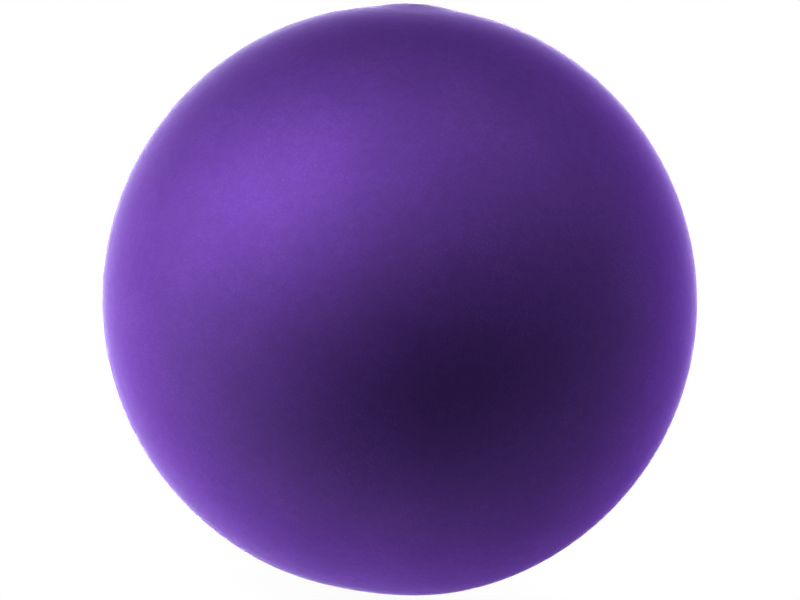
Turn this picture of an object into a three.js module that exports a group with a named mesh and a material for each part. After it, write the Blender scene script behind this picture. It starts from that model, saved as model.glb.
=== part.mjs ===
// An inflatable rubber playground ball, 8.5 inch size, in millimetres with +Z up.
//
// Its wall has four layers: a butyl bladder that holds the air, nylon thread wound over the bladder, and a
// rubber cover in two plies moulded over the thread. A self-sealing needle valve sits at the top: a rubber
// boot whose flange is bonded inside the bladder, a patch that strengthens the bladder round it and lifts the
// layers above into a low pad, and a rubber core that is pushed into the boot and can be pulled out.
//
// The origin is the ball's centre and the valve's axis is +Z. The ball stands on a small flat at the bottom,
// where its own weight presses the wall against the floor.
import * as THREE from "three";

// Wall layers, from the outside in. The gap between two layers stands for their bond.
const BALL_RADIUS = 108;
const OUTER_PLY_THICKNESS = 0.75;
const INNER_PLY_THICKNESS = 0.75;
const WINDING_THICKNESS = 0.5;
const BLADDER_THICKNESS = 0.7;
const BOND_GAP = 0.15;
const INNER_PLY_DEPTH = OUTER_PLY_THICKNESS + BOND_GAP;
const WINDING_DEPTH = INNER_PLY_DEPTH + INNER_PLY_THICKNESS + BOND_GAP;
const BLADDER_DEPTH = WINDING_DEPTH + WINDING_THICKNESS + BOND_GAP;

// The flat that the ball rests on, and the distance from the centre down to the floor.
const FLOOR_DEPTH = 106.45;
const FLAT_RADIUS = 9;

// The valve patch, thinned towards its rim, and the pad that it raises in the layers above it. The pad slopes
// from close to the axis to a little way beyond the patch.
const PATCH_THICKNESS = 0.76;
const PAD_RISE = PATCH_THICKNESS + BOND_GAP;
const PAD_TOP_RADIUS = 2;
const PAD_FOOT_RADIUS = 18;

// The valve boot.
const FIT_GAP = 0.3;
const STEM_RADIUS = 6.5;
const HOLE_RADIUS = STEM_RADIUS + FIT_GAP;
const FLANGE_RADIUS = 13;
const FLANGE_THICKNESS = 1;
const NIPPLE_LENGTH = 12;
const NIPPLE_TIP_RADIUS = 4.9;
const BOOT_RECESS = 0.05;
const BORE_RADIUS = 3.5;

// The valve core.
const CORE_LENGTH = 16.5;
const CORE_RECESS = 0.15;
const CORE_STEM_RADIUS = 2.6;
const HEAD_RADIUS = 4.3;
const HEAD_THICKNESS = 1.1;
const HEAD_SEAT_GAP = 0.15;
const BULB_RADIUS = 3.2;
const BULB_LENGTH = 3.5;
const TIP_LENGTH = 1.2;
const TIP_RADIUS = 1.6;
const NEEDLE_MOUTH_RADIUS = 1.4;
const NEEDLE_HOLE_RADIUS = 0.9;
const NEEDLE_HOLE_DEPTH = 5;

// How finely the round surfaces are faceted.
const WALL_SEGMENTS = 32;
const WALL_RINGS = 16;
const PAD_RINGS = 5;
const PATCH_RINGS = 2;
const VALVE_SEGMENTS = 32;

// A real ball is a little out of round. Round the Y axis this one is oval, with its long axis at OVAL_ANGLE,
// and has a few low and full places; all of it fades out towards the ball's two Y poles. Angles run from +X
// towards +Z in degrees, spreads are in degrees too, and heights are outwards in millimetres.
const OVAL_HEIGHT = 0.42;
const OVAL_ANGLE = 152;
const UNEVEN_PLACES = [
  { angle: 90, height: -0.6, spread: 15 }, // drawn in round the stiff valve
  { angle: 199, height: 0.25, spread: 23 }, // full, on one side
  { angle: 265, height: -1.05, spread: 13.5 }, // low, underneath
  { angle: 286, height: 0.45, spread: 25 }, // full, beside the low place
];

const UP = new THREE.Vector3(0, 0, 1);

// The smaller angle between two directions, in degrees.
function angleBetween(a, b) {
  const apart = THREE.MathUtils.euclideanModulo(a - b, 360);
  return Math.min(apart, 360 - apart);
}

// How far the cover stands outside a true sphere in a direction, with the floor pressing the bottom flat.
function outOfRound(direction) {
  const angle = THREE.MathUtils.radToDeg(Math.atan2(direction.z, direction.x));
  let height = OVAL_HEIGHT * Math.cos(2 * THREE.MathUtils.degToRad(angle - OVAL_ANGLE));
  for (const place of UNEVEN_PLACES) {
    const away = angleBetween(angle, place.angle);
    height += place.height * Math.exp(-((away / place.spread) ** 2));
  }
  height *= 1 - direction.y ** 2;
  if (direction.z >= 0) return height;
  const floorRadius = FLOOR_DEPTH / -direction.z;
  return Math.min(height, floorRadius - BALL_RADIUS);
}

// Moves every point of a wall layer in or out, so that all the layers share the ball's true shape.
function makeOutOfRound(geometry) {
  const positions = geometry.attributes.position;
  const point = new THREE.Vector3();
  const direction = new THREE.Vector3();
  for (let i = 0; i < positions.count; i++) {
    point.fromBufferAttribute(positions, i);
    direction.copy(point).normalize();
    point.addScaledVector(direction, outOfRound(direction));
    positions.setXYZ(i, point.x, point.y, point.z);
  }
  return geometry;
}

// Turns a profile of [radius, height] points about the Z axis.
function turned(profile, segments) {
  const points = profile.map(([radius, height]) => new THREE.Vector2(radius, height));
  return new THREE.LatheGeometry(points, segments).rotateX(Math.PI / 2);
}

// The profile point on the upper half of a sphere at a distance from the valve's axis.
function onSphere(radius, distance) {
  return [distance, Math.sqrt(radius * radius - distance * distance)];
}

// How far the pad lifts a layer at a distance from the valve's axis.
function padRise(distance) {
  return PAD_RISE * (1 - THREE.MathUtils.smoothstep(distance, PAD_TOP_RADIUS, PAD_FOOT_RADIUS));
}

// The distances from the valve's axis at which the pad is faceted, from a number of rings out in to the hole.
function padDistances(rings) {
  const distances = [];
  for (let i = rings; i >= 0; i--) {
    distances.push(THREE.MathUtils.lerp(HOLE_RADIUS, PAD_FOOT_RADIUS, i / PAD_RINGS));
  }
  return distances;
}

// One surface of a wall layer as a profile, from the bottom up to the valve's hole.
function wallSurface(depth, raised) {
  const radius = BALL_RADIUS - depth;
  const flatEdge = Math.PI - Math.asin(FLAT_RADIUS / BALL_RADIUS);
  const padFoot = Math.asin(PAD_FOOT_RADIUS / BALL_RADIUS);
  const profile = [[0, -radius]];
  for (let i = 0; i <= WALL_RINGS; i++) {
    const polar = THREE.MathUtils.lerp(flatEdge, padFoot, i / WALL_RINGS);
    profile.push([radius * Math.sin(polar), radius * Math.cos(polar)]);
  }
  for (const distance of padDistances(PAD_RINGS - 1)) {
    const rise = raised ? padRise(distance) : 0;
    profile.push(onSphere(radius + rise, distance));
  }
  return profile;
}

// A wall layer: a hollow shell with the valve's hole through its top.
function wallLayer(depth, thickness, raised) {
  const outside = wallSurface(depth, raised);
  const inside = wallSurface(depth + thickness, raised).reverse();
  return makeOutOfRound(turned([...outside, ...inside], WALL_SEGMENTS));
}

// The reinforcing disc bonded to the outside of the bladder round the valve, under the pad's slope.
function valvePatch() {
  const bladderRadius = BALL_RADIUS - BLADDER_DEPTH;
  const distances = padDistances(PATCH_RINGS);
  const top = distances.map((distance) => onSphere(bladderRadius + padRise(distance), distance));
  const bottom = distances.map((distance) => onSphere(bladderRadius + BOND_GAP, distance)).reverse();
  return makeOutOfRound(turned([...bottom, ...top, bottom[0]], WALL_SEGMENTS));
}

// The top of the pad, on the valve's axis.
const PAD_TOP = BALL_RADIUS + outOfRound(UP) + PAD_RISE;

// The height of the pad's surface at a distance from the valve's axis.
function padHeight(distance) {
  return onSphere(PAD_TOP - PAD_RISE + padRise(distance), distance)[1];
}

// The rubber boot: a flange inside the bladder, a stem up through the wall, and a nipple that hangs inside.
function valveBoot() {
  const flangeTop = PAD_TOP - PAD_RISE - BLADDER_DEPTH - BLADDER_THICKNESS - FIT_GAP;
  const flangeBottom = flangeTop - FLANGE_THICKNESS;
  const nippleTip = flangeBottom - NIPPLE_LENGTH;
  const headSeat = PAD_TOP - CORE_RECESS - HEAD_THICKNESS - HEAD_SEAT_GAP;
  const counterboreRadius = HEAD_RADIUS + FIT_GAP;
  const profile = [
    [BORE_RADIUS, nippleTip],
    [NIPPLE_TIP_RADIUS, nippleTip],
    onSphere(flangeBottom, STEM_RADIUS),
    onSphere(flangeBottom, FLANGE_RADIUS),
    onSphere(flangeTop, FLANGE_RADIUS),
    onSphere(flangeTop, STEM_RADIUS),
    [STEM_RADIUS, padHeight(STEM_RADIUS) - BOOT_RECESS],
    [counterboreRadius, padHeight(counterboreRadius) - BOOT_RECESS],
    [counterboreRadius, headSeat],
    [BORE_RADIUS, headSeat],
    [BORE_RADIUS, nippleTip],
  ];
  return turned(profile, VALVE_SEGMENTS);
}

// The self-sealing core: a flat head, a stem, a bulb in the boot's bore, and a blind hole for the needle.
function valveCore() {
  const top = PAD_TOP - CORE_RECESS;
  const tip = top - CORE_LENGTH;
  const bulbBottom = tip + TIP_LENGTH;
  const bulbTop = bulbBottom + BULB_LENGTH;
  const needleHoleBottom = top - NEEDLE_HOLE_DEPTH;
  const profile = [
    [0, tip],
    [TIP_RADIUS, tip],
    [BULB_RADIUS, bulbBottom],
    [BULB_RADIUS, bulbTop],
    [CORE_STEM_RADIUS, bulbTop + TIP_LENGTH],
    [CORE_STEM_RADIUS, top - HEAD_THICKNESS],
    [HEAD_RADIUS, top - HEAD_THICKNESS],
    [HEAD_RADIUS, top],
    [NEEDLE_MOUTH_RADIUS, top],
    [NEEDLE_HOLE_RADIUS, top - (NEEDLE_MOUTH_RADIUS - NEEDLE_HOLE_RADIUS)],
    [NEEDLE_HOLE_RADIUS, needleHoleBottom],
    [0, needleHoleBottom - NEEDLE_HOLE_RADIUS],
  ];
  return turned(profile, VALVE_SEGMENTS);
}

function material(colour, roughness) {
  return new THREE.MeshStandardMaterial({ color: colour, roughness, metalness: 0 });
}

const PURPLE_RUBBER = material(0x794cba, 0.5);
const PLY_RUBBER = material(0x3d3a3f, 0.7);
const NYLON_THREAD = material(0xd9d2bd, 0.7);
const BUTYL_RUBBER = material(0x1d1d20, 0.5);
const PATCH_RUBBER = material(0x6b6258, 0.8);
const VALVE_RUBBER = material(0x6942aa, 0.45);

const ball = new THREE.Group();

function add(name, geometry, rubber) {
  const mesh = new THREE.Mesh(geometry, rubber);
  mesh.name = name;
  ball.add(mesh);
}

add("cover_outer_ply", wallLayer(0, OUTER_PLY_THICKNESS, true), PURPLE_RUBBER);
add("cover_inner_ply", wallLayer(INNER_PLY_DEPTH, INNER_PLY_THICKNESS, true), PLY_RUBBER);
add("nylon_winding", wallLayer(WINDING_DEPTH, WINDING_THICKNESS, true), NYLON_THREAD);
add("bladder", wallLayer(BLADDER_DEPTH, BLADDER_THICKNESS, false), BUTYL_RUBBER);
add("valve_patch", valvePatch(), PATCH_RUBBER);
add("valve_boot", valveBoot(), VALVE_RUBBER);
add("valve_core", valveCore(), VALVE_RUBBER);

export default ball;
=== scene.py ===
"""The looks of an inflatable rubber playground ball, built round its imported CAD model.

All seven pieces of the ball are rebuilt as fine closed solids that share the CAD's shape: the grained
cover, the plain inner ply, the wound thread, the bladder, and the three pieces of the valve at the top.
Lengths are in metres and +Z is the valve's axis, as in the CAD.
"""
import math

import bpy
import numpy as np
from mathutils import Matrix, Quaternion, Vector


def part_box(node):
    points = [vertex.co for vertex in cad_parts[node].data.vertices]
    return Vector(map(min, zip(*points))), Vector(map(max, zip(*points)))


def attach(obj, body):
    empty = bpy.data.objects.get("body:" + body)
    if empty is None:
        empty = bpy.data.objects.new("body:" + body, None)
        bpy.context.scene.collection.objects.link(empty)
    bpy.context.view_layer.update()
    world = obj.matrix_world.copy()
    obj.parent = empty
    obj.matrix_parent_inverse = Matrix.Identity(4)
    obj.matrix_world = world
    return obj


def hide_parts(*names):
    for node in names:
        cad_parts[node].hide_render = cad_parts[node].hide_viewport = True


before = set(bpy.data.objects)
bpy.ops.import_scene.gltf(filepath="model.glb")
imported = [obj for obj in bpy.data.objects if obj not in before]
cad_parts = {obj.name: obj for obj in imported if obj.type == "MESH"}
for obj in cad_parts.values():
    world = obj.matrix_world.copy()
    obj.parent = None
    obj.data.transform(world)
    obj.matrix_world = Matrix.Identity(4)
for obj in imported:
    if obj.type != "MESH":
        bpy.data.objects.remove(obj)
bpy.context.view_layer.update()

MM = 0.001

# The wall's layers, from the outside in.
BALL_RADIUS = 108 * MM
OUTER_PLY_THICKNESS = 0.75 * MM
INNER_PLY_THICKNESS = 0.75 * MM
WINDING_THICKNESS = 0.5 * MM
BLADDER_THICKNESS = 0.7 * MM
BOND_GAP = 0.15 * MM
INNER_PLY_DEPTH = OUTER_PLY_THICKNESS + BOND_GAP
WINDING_DEPTH = INNER_PLY_DEPTH + INNER_PLY_THICKNESS + BOND_GAP
BLADDER_DEPTH = WINDING_DEPTH + WINDING_THICKNESS + BOND_GAP

# The unevenness of the ball round the Y axis, as in the CAD: angles and spreads in degrees, heights in
# metres. Each uneven place is a row of angle, height and spread.
OVAL_HEIGHT = 0.42 * MM
OVAL_ANGLE = 152
UNEVEN_PLACES = [
    (90, -0.6 * MM, 15),
    (199, 0.25 * MM, 23),
    (265, -1.05 * MM, 13.5),
    (286, 0.45 * MM, 25),
]
FLOOR_DEPTH = -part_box("cover_outer_ply")[0].z

# The pad round the valve, the reinforcing patch that lifts it, and the hole for the valve's boot.
PATCH_THICKNESS = 0.76 * MM
PATCH_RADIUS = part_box("valve_patch")[1].x
PAD_RISE = PATCH_THICKNESS + BOND_GAP
PAD_TOP_RADIUS = 2 * MM
PAD_FOOT_RADIUS = 18 * MM
HOLE_RADIUS = 6.8 * MM
COVER_LIP = 0.3 * MM
LAYER_LIP = 0.12 * MM

# The valve's boot and core. The boot's flange is curved like the bladder, so it has dropped a little by the
# time it reaches the stem.
STEM_RADIUS = 6.5 * MM
BORE_RADIUS = 3.5 * MM
NIPPLE_TIP_RADIUS = 4.9 * MM
NIPPLE_LENGTH = 12 * MM
FLANGE_THICKNESS = 1 * MM
FLANGE_DROP = 0.2 * MM
COUNTERBORE_RADIUS = 4.6 * MM
BOOT_RECESS = 0.05 * MM
HEAD_THICKNESS = 1.1 * MM
HEAD_SEAT_GAP = 0.15 * MM
CORE_STEM_RADIUS = 2.6 * MM
BULB_RADIUS = 3.2 * MM
BULB_LENGTH = 3.5 * MM
TIP_LENGTH = 1.2 * MM
TIP_RADIUS = 1.6 * MM
NEEDLE_HOLE_RADIUS = 0.9 * MM
NEEDLE_MOUTH_RADIUS = 1.4 * MM
NEEDLE_HOLE_DEPTH = 5 * MM

# How finely the turned pieces are faceted.
COVER_SEGMENTS = 320
COVER_RINGS = 200
LAYER_SEGMENTS = 192
LAYER_RINGS = 120
PATCH_RINGS = 16
VALVE_SEGMENTS = 96
FILLET_STEPS = 6
PAD_STEP = 0.5 * MM
SUPPORT_GAP = 0.04 * MM


# ---- Shape ---------------------------------------------------------------------------------------


def out_of_round(direction):
    """How far the wall stands outside a true sphere in each unit direction, with its bottom flattened."""
    angle = np.degrees(np.arctan2(direction[:, 2], direction[:, 0]))
    height = OVAL_HEIGHT * np.cos(2 * np.radians(angle - OVAL_ANGLE))
    for place, rise, spread in UNEVEN_PLACES:
        away = (angle - place + 180) % 360 - 180
        height += rise * np.exp(-((away / spread) ** 2))
    height *= 1 - direction[:, 1] ** 2
    down = np.maximum(-direction[:, 2], 1e-6)
    return np.minimum(height, FLOOR_DEPTH / down - BALL_RADIUS)


def make_out_of_round(points):
    direction = points / np.linalg.norm(points, axis=1, keepdims=True)
    return points + direction * out_of_round(direction)[:, None]


def pad_rise(distance):
    """How far the pad lifts a layer at a distance from the valve's axis."""
    along = np.clip((distance - PAD_TOP_RADIUS) / (PAD_FOOT_RADIUS - PAD_TOP_RADIUS), 0, 1)
    return PAD_RISE * (1 - along * along * (3 - 2 * along))


def on_sphere(radius, distance):
    """The outline point on the upper half of a sphere at a distance from the valve's axis."""
    return (distance, math.sqrt(radius * radius - distance * distance))


def rounded(corners, closed=True):
    """An outline through corners of (radius, height, fillet), with an arc at each that has a fillet.

    A support point stands close to each end of an arc, so that smooth shading leaves straight runs flat.
    """
    outline = []
    count = len(corners)
    for i, (x, z, fillet) in enumerate(corners):
        corner = np.array((x, z))
        if fillet == 0 or (not closed and i in (0, count - 1)):
            outline.append((x, z))
            continue
        before = np.array(corners[i - 1][:2]) - corner
        after = np.array(corners[(i + 1) % count][:2]) - corner
        to_before = before / np.linalg.norm(before)
        to_after = after / np.linalg.norm(after)
        half_angle = math.acos(np.clip(to_before @ to_after, -1, 1)) / 2
        reach = fillet / math.tan(half_angle)
        middle = to_before + to_after
        centre = corner + middle / np.linalg.norm(middle) * fillet / math.sin(half_angle)
        start = corner + to_before * reach - centre
        end = corner + to_after * reach - centre
        outline.append(tuple(corner + to_before * (reach + SUPPORT_GAP)))
        turn = math.pi - 2 * half_angle
        for step in range(FILLET_STEPS + 1):
            share = step / FILLET_STEPS
            spoke = math.sin((1 - share) * turn) * start + math.sin(share * turn) * end
            outline.append(tuple(centre + spoke / math.sin(turn)))
        outline.append(tuple(corner + to_after * (reach + SUPPORT_GAP)))
    return outline


def turned(name, outline, segments, reshape=None):
    """A closed solid: an outline of (radius, height) points turned about Z.

    The outline starts and ends on the axis, or closes on itself, and runs up the outer side. Reshape moves
    the solid's points.
    """
    on_axis = outline[0][0] == 0
    angle = np.arange(segments) * 2 * math.pi / segments
    rings = []
    points = []
    for radius, height in outline:
        first = len(points)
        if radius == 0:
            points.append((0, 0, height))
            rings.append([first] * segments)
            continue
        points.extend(zip(radius * np.cos(angle), radius * np.sin(angle), [height] * segments))
        rings.append(list(range(first, first + segments)))
    if not on_axis:
        rings.append(rings[0])
    faces = []
    for lower, upper in zip(rings, rings[1:]):
        for i in range(segments):
            j = (i + 1) % segments
            corners = (lower[i], lower[j], upper[j], upper[i])
            faces.append(tuple(dict.fromkeys(corners)))
    points = np.array(points, float)
    if reshape is not None:
        points = reshape(points)
    mesh = bpy.data.meshes.new(name)
    mesh.from_pydata(points.tolist(), [], faces)
    mesh.shade_smooth()
    piece = bpy.data.objects.new(name, mesh)
    bpy.context.scene.collection.objects.link(piece)
    return piece


# ---- The wall's layers ---------------------------------------------------------------------------


def layer_surface(radius, raised, rings, edge):
    """One surface of a layer as an outline, from the bottom up to an edge round the valve's axis.

    A raised surface is lifted by the pad.
    """
    pad_foot = math.asin(PAD_FOOT_RADIUS / radius)
    outline = [(0, -radius)]
    for polar in np.linspace(math.pi, pad_foot, rings)[1:]:
        outline.append((radius * math.sin(polar), radius * math.cos(polar)))
    steps = round((PAD_FOOT_RADIUS - edge) / PAD_STEP)
    for distance in np.linspace(PAD_FOOT_RADIUS, edge, steps + 1)[1:]:
        rise = pad_rise(distance) if raised else 0
        outline.append(on_sphere(radius + rise, distance))
    return outline


def layer(
    name, depth, thickness, lip, raised=True, segments=LAYER_SEGMENTS, rings=LAYER_RINGS, relief=None
):
    """A wall layer: a hollow shell with the valve's hole through its top.

    The hole's edges are rounded to the lip's radius. Relief moves the points of the shell before it is
    made out of round.
    """
    edge = HOLE_RADIUS + lip
    outside = layer_surface(BALL_RADIUS - depth, raised, rings, edge)
    inside = layer_surface(BALL_RADIUS - depth - thickness, raised, LAYER_RINGS // 2, edge)
    top = outside[-1][1]
    bottom = inside[-1][1]
    hole = [
        (edge, top, 0),
        (HOLE_RADIUS, top, lip),
        (HOLE_RADIUS, bottom, lip),
        (edge, bottom, 0),
    ]
    outline = outside[:-1] + rounded(hole, closed=False) + inside[:-1][::-1]

    def reshape(points):
        if relief is not None:
            points = relief(points)
        return make_out_of_round(points)

    return turned(name, outline, segments, reshape)


WINDING_BANDS = 54
WINDING_BAND_WIDTH = 7 * MM
WINDING_BAND_HEIGHTS = (0.55, 1)
WINDING_RELIEF = 0.16 * MM
WINDING_SEED = 5


def thread_relief(points):
    """Sinks the winding's surface between its bands of thread, which are great circles round the ball."""
    radius = np.linalg.norm(points, axis=1)
    direction = points / radius[:, None]
    random = np.random.default_rng(WINDING_SEED)
    poles = random.normal(size=(WINDING_BANDS, 3))
    poles /= np.linalg.norm(poles, axis=1, keepdims=True)
    heap = np.zeros(len(points))
    for pole, height in zip(poles, random.uniform(*WINDING_BAND_HEIGHTS, WINDING_BANDS)):
        across = np.arcsin(np.clip(direction @ pole, -1, 1)) * BALL_RADIUS / (WINDING_BAND_WIDTH / 2)
        heap = np.maximum(heap, height * np.sqrt(np.clip(1 - across * across, 0, 1)))
    outer = radius > BALL_RADIUS - WINDING_DEPTH - WINDING_THICKNESS / 2
    off_the_pad = np.hypot(points[:, 0], points[:, 1]) > PAD_FOOT_RADIUS
    sunk = outer & ((direction[:, 2] < 0) | off_the_pad)
    sink = np.where(sunk, WINDING_RELIEF * (1 - heap), 0)
    return points - direction * sink[:, None]


def valve_patch():
    """The reinforcing disc bonded to the bladder round the valve, thinner towards its rim."""
    bladder_radius = BALL_RADIUS - BLADDER_DEPTH
    distances = np.linspace(HOLE_RADIUS, PATCH_RADIUS, PATCH_RINGS)
    bottom = [on_sphere(bladder_radius + BOND_GAP, distance) for distance in distances]
    top = [on_sphere(bladder_radius + pad_rise(distance), distance) for distance in distances[::-1]]
    return turned("patch_cloth", bottom + top, VALVE_SEGMENTS, make_out_of_round)


# ---- The valve -----------------------------------------------------------------------------------


def pad_height(distance):
    """The height of the pad's surface at a distance from the valve's axis."""
    foot_radius = BALL_RADIUS + out_of_round(np.array([[0.0, 0.0, 1.0]]))[0]
    return on_sphere(foot_radius + pad_rise(distance), distance)[1]


def boot():
    """The rubber boot: a flange inside the bladder, a stem up through the wall, and a nipple inside."""
    low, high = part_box("valve_boot")
    flange_radius = high.x
    nipple_top = low.z + NIPPLE_LENGTH
    flange_top = nipple_top + FLANGE_THICKNESS
    flange_sphere = math.hypot(STEM_RADIUS, flange_top)
    rim_low = on_sphere(flange_sphere - FLANGE_THICKNESS, flange_radius)[1]
    rim_high = on_sphere(flange_sphere, flange_radius)[1]
    head_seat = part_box("valve_core")[1].z - HEAD_THICKNESS - HEAD_SEAT_GAP
    corners = [
        (BORE_RADIUS, low.z, 0.3 * MM),
        (NIPPLE_TIP_RADIUS, low.z, 0.6 * MM),
        (STEM_RADIUS, nipple_top - FLANGE_DROP, 0.5 * MM),
        (flange_radius, rim_low, 0.3 * MM),
        (flange_radius, rim_high, 0.3 * MM),
        (STEM_RADIUS, flange_top, 0.3 * MM),
        (STEM_RADIUS, pad_height(STEM_RADIUS) - BOOT_RECESS, 0.35 * MM),
        (COUNTERBORE_RADIUS, pad_height(COUNTERBORE_RADIUS) - BOOT_RECESS, 0.2 * MM),
        (COUNTERBORE_RADIUS, head_seat, 0.1 * MM),
        (BORE_RADIUS, head_seat, 0.1 * MM),
    ]
    return turned("boot_rubber", rounded(corners), VALVE_SEGMENTS)


def core():
    """The self-sealing core: a flat head, a stem, a bulb in the boot's bore, and a hole for the needle."""
    low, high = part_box("valve_core")
    head_radius = high.x
    head_bottom = high.z - HEAD_THICKNESS
    bulb_bottom = low.z + TIP_LENGTH
    bulb_top = bulb_bottom + BULB_LENGTH
    mouth_bottom = high.z - (NEEDLE_MOUTH_RADIUS - NEEDLE_HOLE_RADIUS)
    hole_bottom = high.z - NEEDLE_HOLE_DEPTH
    corners = [
        (0, low.z, 0),
        (TIP_RADIUS, low.z, 0.4 * MM),
        (BULB_RADIUS, bulb_bottom, 0.5 * MM),
        (BULB_RADIUS, bulb_top, 0.5 * MM),
        (CORE_STEM_RADIUS, bulb_top + TIP_LENGTH, 0.4 * MM),
        (CORE_STEM_RADIUS, head_bottom, 0.25 * MM),
        (head_radius, head_bottom, 0.2 * MM),
        (head_radius, high.z, 0.35 * MM),
        (NEEDLE_MOUTH_RADIUS, high.z, 0.15 * MM),
        (NEEDLE_HOLE_RADIUS, mouth_bottom, 0.15 * MM),
        (NEEDLE_HOLE_RADIUS, hole_bottom, 0.1 * MM),
        (0, hole_bottom - NEEDLE_HOLE_RADIUS, 0),
    ]
    return turned("core_rubber", rounded(corners, closed=False), VALVE_SEGMENTS)


# ---- Materials -----------------------------------------------------------------------------------


class Nodes:
    """Shader nodes under construction. A method that adds nodes for a value returns their output."""

    def __init__(self, tree):
        self.tree = tree

    def add(self, kind, **settings):
        node = self.tree.nodes.new(kind)
        for name, value in settings.items():
            setattr(node, name, value)
        return node

    def feed(self, socket, value):
        if isinstance(value, bpy.types.NodeSocket):
            self.tree.links.new(value, socket)
        elif value is not None:
            socket.default_value = value

    def maths(self, operation, *values):
        node = self.add("ShaderNodeMath", operation=operation)
        for socket, value in zip(node.inputs, values):
            self.feed(socket, value)
        return node.outputs[0]

    def vector(self, operation, *values):
        node = self.add("ShaderNodeVectorMath", operation=operation)
        for socket, value in zip(node.inputs, values):
            self.feed(socket, value)
        output = "Value" if operation in ("DISTANCE", "DOT_PRODUCT") else "Vector"
        return node.outputs[output]

    def scaled(self, place, amount):
        node = self.add("ShaderNodeVectorMath", operation="SCALE")
        self.feed(node.inputs[0], place)
        self.feed(node.inputs["Scale"], amount)
        return node.outputs["Vector"]

    def noise(self, place, size, detail, output="Fac"):
        node = self.add("ShaderNodeTexNoise")
        self.feed(node.inputs["Vector"], place)
        node.inputs["Scale"].default_value = 1 / size
        node.inputs["Detail"].default_value = detail
        return node.outputs[output]

    def cells(self, place, size):
        """The distance to the nearest edge between irregular cells of a size."""
        node = self.add("ShaderNodeTexVoronoi", feature="DISTANCE_TO_EDGE")
        self.feed(node.inputs["Vector"], place)
        node.inputs["Scale"].default_value = 1 / size
        return node.outputs["Distance"]

    def warped(self, place, size, amount):
        """The place moved about by noise of a size, to make regular patterns irregular."""
        shift = self.vector("SUBTRACT", self.noise(place, size, 1.0, "Color"), (0.5, 0.5, 0.5))
        return self.vector("ADD", place, self.scaled(shift, 2 * amount))

    def ranged(self, value, low, high, to_low=0.0, to_high=1.0):
        """A value's smooth change from one number to another as it goes from low to high."""
        node = self.add("ShaderNodeMapRange", interpolation_type="SMOOTHSTEP")
        for socket, number in zip(node.inputs, (value, low, high, to_low, to_high)):
            self.feed(socket, number)
        return node.outputs[0]

    def colour(self, amount, low, high):
        """A mix of two colours, the second by an amount from 0 to 1."""
        node = self.add("ShaderNodeMix", data_type="RGBA")
        self.feed(node.inputs[0], amount)
        for socket, value in ((node.inputs[6], low), (node.inputs[7], high)):
            self.feed(socket, (*value, 1) if isinstance(value, tuple) else value)
        return node.outputs[2]

    def wave(self, along, spacing):
        return self.maths("SINE", self.maths("MULTIPLY", along, 2 * math.pi / spacing))

    def bump(self, height, depth, under=None, strength=1.0):
        """A normal for a surface with a height, where a height of 1 stands for the depth, in metres."""
        node = self.add("ShaderNodeBump")
        self.feed(node.inputs["Strength"], strength)
        self.feed(node.inputs["Height"], height)
        node.inputs["Distance"].default_value = depth
        self.feed(node.inputs["Normal"], under)
        return node.outputs["Normal"]


class Rubber(Nodes):
    """A material's nodes, with the piece's own coordinates and its surface shader."""

    def __init__(self, name):
        self.material = bpy.data.materials.new(name)
        self.material.use_nodes = True
        super().__init__(self.material.node_tree)
        self.surface = self.tree.nodes["Principled BSDF"]
        self.place = self.add("ShaderNodeTexCoord").outputs["Object"]

    def finish(self, colour, roughness, normal, **others):
        inputs = {"Base Color": colour, "Roughness": roughness, "Normal": normal, **others}
        for name, value in inputs.items():
            self.feed(self.surface.inputs[name], value)
        return self.material


# The cover's colours.
PURPLE = (0.22, 0.077, 0.58)
PALE_PURPLE = (0.24, 0.103, 0.573)
# This darker purple serves both the painted shade in the grain's creases and pits and the mottle's random
# darker tone.
SHADE_AND_MOTTLE_PURPLE = tuple(0.6 * channel for channel in PURPLE)
FLECK_COLOUR = (0.5, 0.42, 0.7)

# The cover's fine leathery grain, which comes and goes in patches and ends short of the valve, and the
# sizes and strengths of the wider changes of colour over it.
GRAIN_SIZE = 1.3 * MM
GRAIN_HEIGHT = 0.6
GRAIN_DEPTH = 0.045 * MM
# Painted shade: the grain's creases are painted darker, as shade in them.
GRAIN_CREASE_PAINTED_SHADE = 0.5
GRAIN_PATCH_SIZE = 18 * MM
SMOOTH_RADIUS = 9.5 * MM
SMOOTH_EDGE = 1 * MM
MOTTLE_SIZE = 3 * MM
MOTTLE_DARKNESS = 0.16
BLOTCH_SIZE = 22 * MM
BLOTCH_PALENESS = 0.22

# The grain hides most of the gloss, and the roughness varies with wear. Seen at a glancing angle, only the
# grain's tops show, with a fainter and smoother gloss. GLANCING and SMOOTHER_GLANCING say where those
# changes start and end, from 0 facing the eye to 1 edge-on.
COVER_ROUGHNESS = (0.81, 0.89)
WEAR_SIZE = 9 * MM
COVER_GLOSS = 0.15
COVER_SHEEN = 0.015
GLANCING_ROUGHNESS = 0.4
GLANCING_RELIEF = 0.15
GLANCING_GLOSS = 0.00018
GLANCING = (0.1, 0.5)
SMOOTHER_GLANCING = (0.5, 0.75)

# Small moulding pits and small raised flecks on the cover: the angle round the ball from the front, the
# angle up, and the radius.
COVER_PITS = [
    (-28.5, 23, 0.5 * MM),
    (44, 18.5, 0.4 * MM),
    (-22.5, -2, 0.45 * MM),
    (-17, 40.5, 0.35 * MM),
    (-21, -30, 0.45 * MM),
    (128, 24, 0.5 * MM),
    (-140, -12, 0.4 * MM),
    (171, 41, 0.45 * MM),
    (84, -28, 0.4 * MM),
]
COVER_FLECKS = [
    (-31, 34.5, 0.5 * MM),
    (-24.5, 27, 0.3 * MM),
    (101, 36, 0.45 * MM),
    (-152, 22, 0.4 * MM),
]

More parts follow.
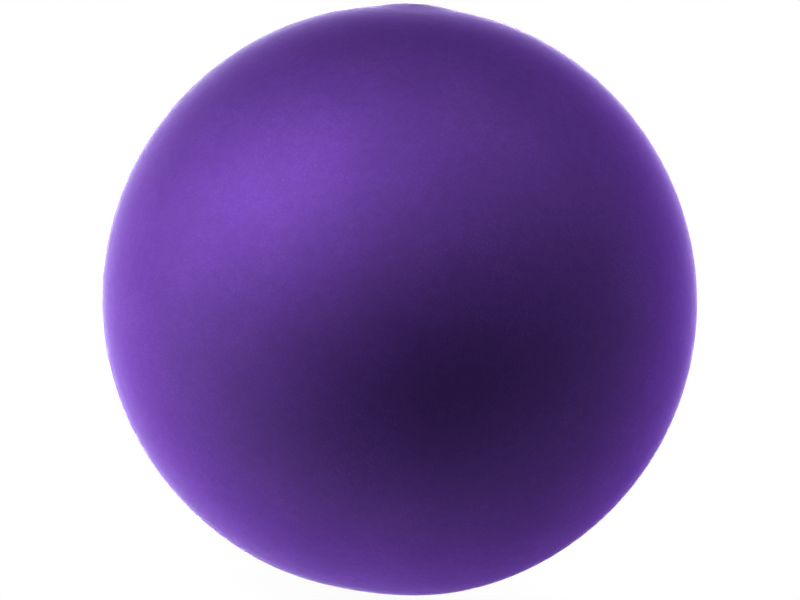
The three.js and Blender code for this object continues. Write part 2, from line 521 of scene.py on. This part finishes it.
# Short raised scuffs: the angle round the ball, the angle up, the angle that the scuff runs at, and its
# length.
COVER_SCUFFS = [
    (-9, 20, 33, 6 * MM),
    (-11.5, 15, 28, 5 * MM),
    (-4.5, -22, -40, 7 * MM),
    (121, 8, 60, 8 * MM),
    (-118, 31, -15, 6 * MM),
]
SCUFF_WIDTH = 0.35 * MM
SCUFF_STRENGTH = 0.6
SCUFF_REACH = 5 * MM
SPOT_DEPTH = 0.03 * MM
# Painted shade: the pits are painted darker, as shade in them.
PIT_PAINTED_SHADE = 0.4
FLECK_PALENESS = 0.12


def cover_direction(around, up):
    """The unit direction at an angle round the ball from the front, which faces -Y, and an angle up."""
    around = math.radians(around)
    up = math.radians(up)
    return Vector((math.sin(around) * math.cos(up), -math.cos(around) * math.cos(up), math.sin(up)))


def spots(rubber, place, rows):
    """A mask of round spots on the cover, with soft edges."""
    mask = 0.0
    for around, up, radius in rows:
        centre = cover_direction(around, up) * BALL_RADIUS
        away = rubber.vector("DISTANCE", place, tuple(centre))
        mask = rubber.maths("ADD", mask, rubber.ranged(away, 1.4 * radius, 0.5 * radius))
    return mask


def scuffs(rubber, place):
    """A mask of the cover's short scuffs, which fade out at their ends."""
    mask = 0.0
    for around, up, slant, length in COVER_SCUFFS:
        outward = cover_direction(around, up)
        level = outward.cross(Vector((0, 0, -1))).normalized()
        course = Quaternion(outward, math.radians(slant)) @ level
        sideways = outward.cross(course)
        offset = rubber.vector("SUBTRACT", place, tuple(outward * BALL_RADIUS))
        along = rubber.maths("ABSOLUTE", rubber.vector("DOT_PRODUCT", offset, tuple(course)))
        across = rubber.maths("ABSOLUTE", rubber.vector("DOT_PRODUCT", offset, tuple(sideways)))
        depth = rubber.vector("DOT_PRODUCT", offset, tuple(outward))
        near = rubber.ranged(along, length / 2, length / 5, 0.0, SCUFF_STRENGTH)
        line = rubber.maths("MULTIPLY", near, rubber.ranged(across, SCUFF_WIDTH, 0.0))
        this_side = rubber.ranged(depth, -SCUFF_REACH, -0.8 * SCUFF_REACH)
        mask = rubber.maths("ADD", mask, rubber.maths("MULTIPLY", line, this_side))
    return mask


def cover_grain(rubber, crooked):
    """The height of the cover's grain: small cells between creases, and finer noise on them."""
    crease = rubber.ranged(rubber.cells(crooked, GRAIN_SIZE), 0.0, 0.3)
    fine = rubber.noise(crooked, 0.5 * GRAIN_SIZE, 3.0)
    grain = rubber.maths("MULTIPLY", rubber.maths("ADD", crease, fine), GRAIN_HEIGHT)
    patches = rubber.ranged(rubber.noise(rubber.place, GRAIN_PATCH_SIZE, 3.0), 0.35, 0.7, 0.55, 1.0)
    from_valve = rubber.vector("DISTANCE", rubber.place, (0, 0, BALL_RADIUS))
    off_valve = rubber.ranged(from_valve, SMOOTH_RADIUS, SMOOTH_RADIUS + SMOOTH_EDGE)
    return rubber.maths("MULTIPLY", rubber.maths("MULTIPLY", grain, patches), off_valve)


def cover_rubber():
    """Matte purple rubber with a fine leathery grain, faint blotches, and a few pits, flecks and scuffs,
    with painted shade in the grain's creases and in the pits.
    """
    rubber = Rubber("grained_purple_rubber")
    place = rubber.place
    crooked = rubber.warped(place, 2 * GRAIN_SIZE, 0.35 * GRAIN_SIZE)
    ragged = rubber.warped(place, 1 * MM, 0.25 * MM)
    grain = cover_grain(rubber, crooked)
    pits = spots(rubber, ragged, COVER_PITS)
    flecks = rubber.maths("ADD", spots(rubber, ragged, COVER_FLECKS), scuffs(rubber, ragged))

    facing = rubber.add("ShaderNodeLayerWeight").outputs["Facing"]
    strength = rubber.ranged(facing, *SMOOTHER_GLANCING, 1.0, GLANCING_RELIEF)
    normal = rubber.bump(grain, GRAIN_DEPTH, strength=strength)
    normal = rubber.bump(rubber.maths("SUBTRACT", flecks, pits), SPOT_DEPTH, normal, strength)

    blotches = rubber.ranged(rubber.noise(place, BLOTCH_SIZE, 4.0), 0.35, 0.75, 0.0, BLOTCH_PALENESS)
    colour = rubber.colour(blotches, PURPLE, PALE_PURPLE)
    # Painted shade: the grain's creases are painted darker, as shade in them; the mottle is a random darker
    # tone of the rubber.
    painted_crease_shade = rubber.maths("MULTIPLY", rubber.maths("SUBTRACT", 1.0, grain), GRAIN_CREASE_PAINTED_SHADE)
    mottle = rubber.ranged(rubber.noise(crooked, MOTTLE_SIZE, 2.0), 0.3, 0.7, 0.0, MOTTLE_DARKNESS)
    colour = rubber.colour(rubber.maths("ADD", painted_crease_shade, mottle), colour, SHADE_AND_MOTTLE_PURPLE)
    # Painted shade in the pits.
    colour = rubber.colour(rubber.maths("MULTIPLY", pits, PIT_PAINTED_SHADE), colour, SHADE_AND_MOTTLE_PURPLE)
    colour = rubber.colour(rubber.maths("MULTIPLY", flecks, FLECK_PALENESS), colour, FLECK_COLOUR)

    gloss = rubber.ranged(facing, *GLANCING, COVER_GLOSS, GLANCING_GLOSS)
    worn = rubber.ranged(rubber.noise(place, WEAR_SIZE, 3.0), 0.3, 0.7, *COVER_ROUGHNESS)
    roughness = rubber.ranged(facing, *SMOOTHER_GLANCING, worn, GLANCING_ROUGHNESS)
    extras = {"Specular IOR Level": gloss, "Sheen Weight": COVER_SHEEN}
    return rubber.finish(colour, roughness, normal, **extras)


PLY_BLACK = (0.047, 0.042, 0.05)
PLY_TALC = (0.3, 0.29, 0.3)
IMPRINT_SPACING = 0.9 * MM
IMPRINT_DEPTH = 0.02 * MM


def ply_rubber():
    """Dark calendered sheet with a faint cloth imprint and talc."""
    rubber = Rubber("talced_ply_rubber")
    imprint = 0.0
    for axis in ((1, 0.2, 0.1), (-0.1, 0.3, 1)):
        across = rubber.vector("DOT_PRODUCT", rubber.place, axis)
        imprint = rubber.maths("ADD", imprint, rubber.wave(across, IMPRINT_SPACING))
    talc = rubber.ranged(rubber.noise(rubber.place, 6 * MM, 6.0), 0.45, 0.75)
    colour = rubber.colour(rubber.maths("MULTIPLY", talc, 0.35), PLY_BLACK, PLY_TALC)
    roughness = rubber.ranged(talc, 0.0, 1.0, 0.6, 0.85)
    return rubber.finish(colour, roughness, rubber.bump(imprint, IMPRINT_DEPTH))


THREAD_CREAM = (0.75, 0.7, 0.56)
CEMENT = (0.36, 0.3, 0.2)
THREAD_SPACING = 0.45 * MM
THREAD_DEPTH = 0.08 * MM


def nylon_thread():
    """Cream thread laid in crossing sets, set in darker cement."""
    rubber = Rubber("wound_thread")
    place = rubber.place
    threads = 0.0
    for axis in ((1, 0.3, 0.2), (-0.2, 1, 0.4), (0.3, -0.4, 1)):
        course = Vector(axis).normalized()
        across = rubber.vector("DOT_PRODUCT", rubber.warped(place, 20 * MM, 1 * MM), tuple(course))
        thread = rubber.maths("ABSOLUTE", rubber.wave(across, THREAD_SPACING))
        shown = rubber.ranged(rubber.noise(rubber.vector("ADD", place, axis), 14 * MM, 1.0), 0.45, 0.55)
        height = rubber.maths("MULTIPLY", rubber.maths("ADD", thread, 0.2), shown)
        threads = rubber.maths("MAXIMUM", threads, height)
    colour = rubber.colour(rubber.ranged(threads, 0.1, 0.9), CEMENT, THREAD_CREAM)
    roughness = rubber.ranged(threads, 0.0, 1.0, 0.8, 0.5)
    return rubber.finish(colour, roughness, rubber.bump(threads, THREAD_DEPTH))


BUTYL_BLACK = (0.012, 0.012, 0.014)
BUTYL_TALC = (0.25, 0.25, 0.26)
FLOW_DEPTH = 0.1 * MM


def butyl_rubber():
    """Smooth black butyl with faint flow marks and a trace of talc."""
    rubber = Rubber("satin_butyl")
    talc = rubber.ranged(rubber.noise(rubber.place, 4 * MM, 8.0), 0.5, 0.8)
    flow = rubber.noise(rubber.place, 12 * MM, 2.0)
    colour = rubber.colour(rubber.maths("MULTIPLY", talc, 0.4), BUTYL_BLACK, BUTYL_TALC)
    roughness = rubber.ranged(talc, 0.0, 1.0, 0.35, 0.8)
    return rubber.finish(colour, roughness, rubber.bump(flow, FLOW_DEPTH))


# Painted shade: the weave is painted darker in its hollows, as shade, following its height.
CLOTH_HOLLOW_SHADE = (0.1, 0.08, 0.06)
CLOTH_PALE = (0.18, 0.15, 0.125)
CLOTH_ROUGHNESS = 0.8
WEAVE_SPACING = 0.8 * MM
WEAVE_DEPTH = 0.08 * MM


def patch_rubber():
    """Brown rubberised cloth: a plain weave under a skin of rubber, with painted shade in the weave's
    hollows.
    """
    rubber = Rubber("rubberised_cloth")
    weave = 0.0
    for axis in ((1, 0, 0), (0, 1, 0)):
        across = rubber.vector("DOT_PRODUCT", rubber.place, axis)
        weave = rubber.maths("ADD", weave, rubber.wave(across, WEAVE_SPACING))
    height = rubber.ranged(weave, -1.5, 1.5)
    # Painted shade in the weave's hollows.
    colour = rubber.colour(height, CLOTH_HOLLOW_SHADE, CLOTH_PALE)
    return rubber.finish(colour, CLOTH_ROUGHNESS, rubber.bump(height, WEAVE_DEPTH))


VALVE_PURPLE = (0.14, 0.055, 0.4)
VALVE_DUST = (0.3, 0.24, 0.5)
VALVE_GLOSS = 0.5
TOOLING_SPACING = 0.25 * MM
TOOLING_DEPTH = 0.015 * MM


def valve_rubber():
    """Satin moulded rubber in a deeper purple, with concentric tooling marks and a trace of dust."""
    rubber = Rubber("moulded_valve_rubber")
    flat_place = rubber.vector("MULTIPLY", rubber.place, (1, 1, 0))
    distance = rubber.vector("DISTANCE", flat_place, (0, 0, 0))
    tooling = rubber.wave(distance, TOOLING_SPACING)
    dust = rubber.ranged(rubber.noise(rubber.place, 1.5 * MM, 5.0), 0.45, 0.8)
    height = rubber.maths("ADD", rubber.maths("MULTIPLY", tooling, 0.3), dust)
    colour = rubber.colour(rubber.maths("MULTIPLY", dust, 0.25), VALVE_PURPLE, VALVE_DUST)
    facing = rubber.add("ShaderNodeLayerWeight").outputs["Facing"]
    gloss = rubber.ranged(facing, *GLANCING, VALVE_GLOSS, GLANCING_GLOSS)
    roughness = rubber.ranged(dust, 0.0, 1.0, 0.35, 0.6)
    normal = rubber.bump(height, TOOLING_DEPTH)
    return rubber.finish(colour, roughness, normal, **{"Specular IOR Level": gloss})


# ---- Stage ---------------------------------------------------------------------------------------

# The lens is in millimetres and the angles are in degrees. The ball's outline stands at OUTLINE_HALF_ANGLE
# from the middle of the picture.
CAMERA_LENS = 100
CAMERA_ELEVATION = 7.6
CAMERA_ROLL = 3
OUTLINE_HALF_ANGLE = 7.607


def add_camera():
    """The camera looks along +Y from a little above, from where the ball fills the picture's height."""
    data = bpy.data.cameras.new("camera")
    data.lens = CAMERA_LENS
    camera = bpy.data.objects.new("camera", data)
    bpy.context.scene.collection.objects.link(camera)
    distance = BALL_RADIUS / math.sin(math.radians(OUTLINE_HALF_ANGLE))
    camera.location = cover_direction(0, CAMERA_ELEVATION) * distance
    level = (-camera.location).to_track_quat("-Z", "Y")
    camera.rotation_mode = "QUATERNION"
    camera.rotation_quaternion = level @ Quaternion((0, 0, 1), math.radians(CAMERA_ROLL))
    bpy.context.scene.camera = camera
    return camera


def add_rig(camera):
    """An empty at the ball's centre that turns with the camera, so that the lights do too."""
    rig = bpy.data.objects.new("light_rig", None)
    bpy.context.scene.collection.objects.link(rig)
    follow = rig.constraints.new("COPY_ROTATION")
    follow.target = camera
    return rig


def picture_direction(right, up):
    """The direction in the rig's axes at angles to the right of and above the line to the camera."""
    right = math.radians(right)
    up = math.radians(up)
    return Vector((math.sin(right) * math.cos(up), math.sin(up), math.cos(right) * math.cos(up)))


WHITE = (1, 1, 1)
WARM_WHITE = (1.12, 1.5, 0.86)
COOL_WHITE = (1, 0.82, 1.16)
PALE_VIOLET = (1, 0.92, 1.04)

# Round soft panels all round the ball, and most of all behind it, as in a white light tent: angle right,
# angle up, half angle, strength and tint. A panel fades from its core out to its edge.
SOFT_PANELS = [
    (170, 0, 22, 3.5, WHITE),
    (-154, 0, 40, 10.5, WARM_WHITE),
    (-172, 13, 34, 13, WHITE),
    (138, 3, 25, 10, COOL_WHITE),
    (169, 13, 30, 17.5, PALE_VIOLET),
    (-125, -2, 60, 2.4, WHITE),
    (-118, -41, 43, 2.35, WHITE),
    (111, -46, 33, 2.35, WHITE),
    (136, 49, 63, 0.8, WHITE),
]
PANEL_CORE = 0.2

# Small lamps close to the ball's front: angle right, angle up, distance from the centre in ball radii, and
# watts.
LAMPS = [
    (-18, 22, 1.5, 0.06),
    (-33, 16, 1.45, 0.05),
    (-1, 29, 1.9, 0.083),
    (-50, 0, 1.6, 0.025),
    (24, 28, 1.55, 0.025),
]
LAMP_SIZE = 20 * MM


def add_lamps(rig):
    for right, up, distance, power in LAMPS:
        data = bpy.data.lights.new("lamp", "POINT")
        data.energy = power
        data.shadow_soft_size = LAMP_SIZE
        lamp = bpy.data.objects.new("lamp", data)
        bpy.context.scene.collection.objects.link(lamp)
        lamp.parent = rig
        lamp.location = picture_direction(right, up) * distance * BALL_RADIUS
        lamp.visible_camera = False


def add_surroundings(rig):
    """Pure white to the camera, and soft lights that turn with the rig to everything else."""
    world = bpy.data.worlds.new("studio")
    bpy.context.scene.world = world
    world.use_nodes = True
    nodes = Nodes(world.node_tree)
    direction = nodes.add("ShaderNodeTexCoord", object=rig).outputs["Object"]
    direction = nodes.vector("NORMALIZE", direction)
    light = (0, 0, 0)
    for right, up, half_angle, strength, tint in SOFT_PANELS:
        toward = nodes.vector("DOT_PRODUCT", direction, tuple(picture_direction(right, up)))
        edge = math.cos(math.radians(half_angle))
        core = math.cos(math.radians(half_angle * PANEL_CORE))
        brightness = nodes.ranged(toward, edge, core, 0.0, strength)
        light = nodes.vector("ADD", light, nodes.scaled(tint, brightness))
    seen = nodes.add("ShaderNodeLightPath").outputs["Is Camera Ray"]
    background = nodes.tree.nodes["Background"]
    nodes.feed(background.inputs["Color"], nodes.colour(seen, light, WHITE))


# The floor's half width, and the shadows painted into its glow: the distances from the contact at which a
# shadow is darkest and ends, and the floor's brightness at both.
FLOOR_REACH = 8
CONTACT_SHADOW = (3 * MM, 19 * MM, 0.62, 1.0)
WIDE_SHADOW = (8 * MM, 75 * MM, 0.965, 1.0)


def add_floor():
    """A pale floor with a painted soft contact shadow. It lights nothing, and isn't seen from below."""
    mesh = bpy.data.meshes.new("floor")
    corners = [(-1, -1), (1, -1), (1, 1), (-1, 1)]
    points = [(x * FLOOR_REACH, y * FLOOR_REACH, -FLOOR_DEPTH) for x, y in corners]
    mesh.from_pydata(points, [], [(0, 1, 2, 3)])
    floor = bpy.data.objects.new("floor", mesh)
    bpy.context.scene.collection.objects.link(floor)
    floor.visible_diffuse = False
    floor.visible_glossy = False
    floor.visible_shadow = False
    material = bpy.data.materials.new("floor")
    material.use_nodes = True
    nodes = Nodes(material.node_tree)
    nodes.tree.nodes.remove(nodes.tree.nodes["Principled BSDF"])
    place = nodes.vector("MULTIPLY", nodes.add("ShaderNodeTexCoord").outputs["Object"], (1, 1, 0))
    distance = nodes.vector("DISTANCE", place, (0, 0, 0))
    paint = nodes.add("ShaderNodeEmission")
    wide = nodes.ranged(distance, *WIDE_SHADOW)
    contact = nodes.ranged(distance, *CONTACT_SHADOW)
    nodes.feed(paint.inputs["Color"], (1, 1, 1, 1))
    nodes.feed(paint.inputs["Strength"], nodes.maths("MULTIPLY", wide, contact))
    clear = nodes.add("ShaderNodeBsdfTransparent")
    mix = nodes.add("ShaderNodeMixShader")
    nodes.feed(mix.inputs[0], nodes.add("ShaderNodeNewGeometry").outputs["Backfacing"])
    nodes.feed(mix.inputs[1], paint.outputs[0])
    nodes.feed(mix.inputs[2], clear.outputs[0])
    nodes.feed(nodes.tree.nodes["Material Output"].inputs["Surface"], mix.outputs[0])
    mesh.materials.append(material)


# ---- Assembly ------------------------------------------------------------------------------------


def stand_in(piece, node, body, material):
    """A finished piece stands for its CAD node, rides on its body, and has its material."""
    piece.data.materials.append(material)
    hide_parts(node)
    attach(piece, body)


def build_ball():
    fine = {"segments": COVER_SEGMENTS, "rings": COVER_RINGS}
    cover = layer("cover_skin", 0, OUTER_PLY_THICKNESS, COVER_LIP, **fine)
    stand_in(cover, "cover_outer_ply", "ball", cover_rubber())
    inner = layer("inner_ply_sheet", INNER_PLY_DEPTH, INNER_PLY_THICKNESS, LAYER_LIP)
    stand_in(inner, "cover_inner_ply", "ball", ply_rubber())
    winding = layer(
        "thread_winding", WINDING_DEPTH, WINDING_THICKNESS, LAYER_LIP, relief=thread_relief, **fine
    )
    stand_in(winding, "nylon_winding", "ball", nylon_thread())
    bladder = layer("bladder_skin", BLADDER_DEPTH, BLADDER_THICKNESS, LAYER_LIP, raised=False)
    stand_in(bladder, "bladder", "ball", butyl_rubber())
    stand_in(valve_patch(), "valve_patch", "ball", patch_rubber())
    deep_purple_rubber = valve_rubber()
    stand_in(boot(), "valve_boot", "ball", deep_purple_rubber)
    stand_in(core(), "valve_core", "valve_core", deep_purple_rubber)


build_ball()
camera = add_camera()
rig = add_rig(camera)
add_lamps(rig)
add_surroundings(rig)
add_floor()
bpy.context.scene.view_settings.view_transform = "Standard"
